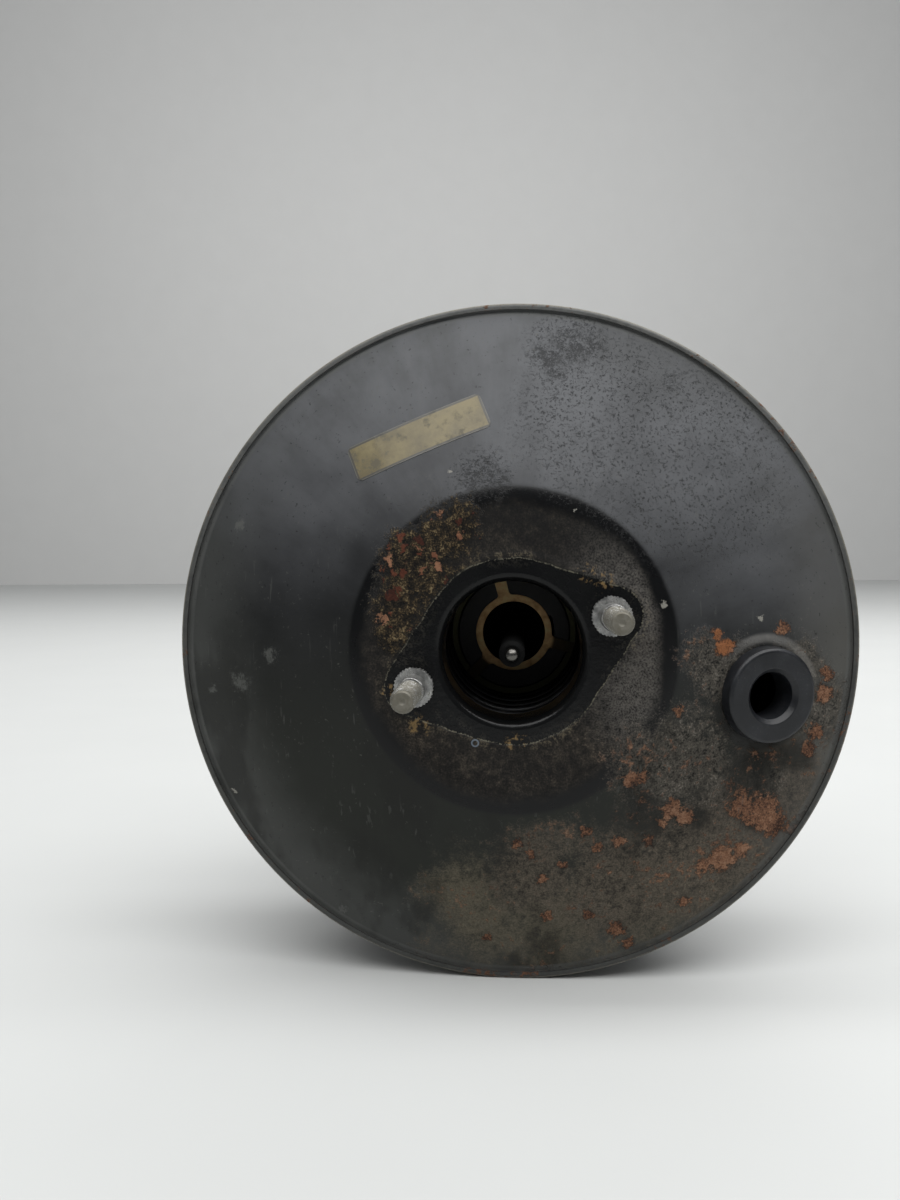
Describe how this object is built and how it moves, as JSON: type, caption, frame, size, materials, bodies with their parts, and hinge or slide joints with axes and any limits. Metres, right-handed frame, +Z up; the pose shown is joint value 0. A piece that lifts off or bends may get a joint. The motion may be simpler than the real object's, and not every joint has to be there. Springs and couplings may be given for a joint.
{
  "type": "brake booster",
  "caption": "Vacuum brake booster with a domed casing, a rolled rim, master cylinder studs in front and a pushrod with a clevis behind.",
  "frame": {"origin": "centre of the bulkhead face, on the booster's axis", "axes": "+Y along the booster's axis towards the pedal, the master cylinder side faces -Y, +Z up"},
  "size_m": [0.2408, 0.2865, 0.2408],
  "materials": {
    "black_paint": "semi-gloss black paint, worn and rusted in places",
    "plain_steel": "plain pressed steel",
    "zinc_plate": "dull white zinc plate",
    "yellow_zinc": "yellow passivated zinc plate",
    "black_steel": "black oxide",
    "polished_steel": "polished hardened steel",
    "spring_steel": "dark spring wire",
    "black_rubber": "moulded rubber",
    "dark_moulding": "moulded phenolic",
    "felt": "pressed felt",
    "foam": "open cell foam"
  },
  "bodies": {
    "housing": {"front_shell": "black_paint", "rear_shell": "black_paint", "stud_plate": "plain_steel", "master_cylinder_studs": "zinc_plate", "vacuum_grommet": "black_rubber", "bulkhead_plate": "plain_steel", "bulkhead_studs": "zinc_plate", "guide_bush": "dark_moulding", "neck_seal": "black_rubber", "seal_retainer": "plain_steel", "diaphragm": "black_rubber", "return_spring": "spring_steel", "dust_boot": "black_rubber"},
    "power_piston": {"valve_body": "dark_moulding", "diaphragm_plate": "plain_steel", "pushrod_retainer": "yellow_zinc", "reaction_disc": "black_rubber", "output_rod": "black_steel", "output_rod_tip": "polished_steel", "stop_key": "plain_steel", "poppet_valve": "black_rubber", "poppet_spring": "spring_steel", "poppet_retainer": "plain_steel", "air_filter": "felt", "silencer": "foam", "rod_return_spring": "spring_steel"},
    "valve_plunger": {"valve_plunger": "plain_steel"},
    "input_rod": {"input_rod": "yellow_zinc", "rod_spring_seat": "plain_steel", "lock_nut": "yellow_zinc", "clevis": "yellow_zinc"}
  },
  "joints": [
    {"name": "servo_stroke", "type": "slide", "parent": "housing", "child": "power_piston", "axis": [0, -1, 0], "range_m": [0, 0.034], "stiffness_N_per_m": 2500, "springref_m": -0.05, "deforming": ["return_spring", "diaphragm", "dust_boot"]},
    {"name": "valve_travel", "type": "slide", "parent": "power_piston", "child": "valve_plunger", "axis": [0, -1, 0], "range_m": [0, 0.0015], "stiffness_N_per_m": 3000, "springref_m": -0.005, "deforming": ["rod_return_spring"]},
    {"name": "rod_swivel", "type": "hinge", "parent": "valve_plunger", "child": "input_rod", "pos_m": [0, 0.0032, 0], "axis": [1, 0, 0], "range_deg": [-3, 3], "stiffness_Nm_per_rad": 20}
  ]
}
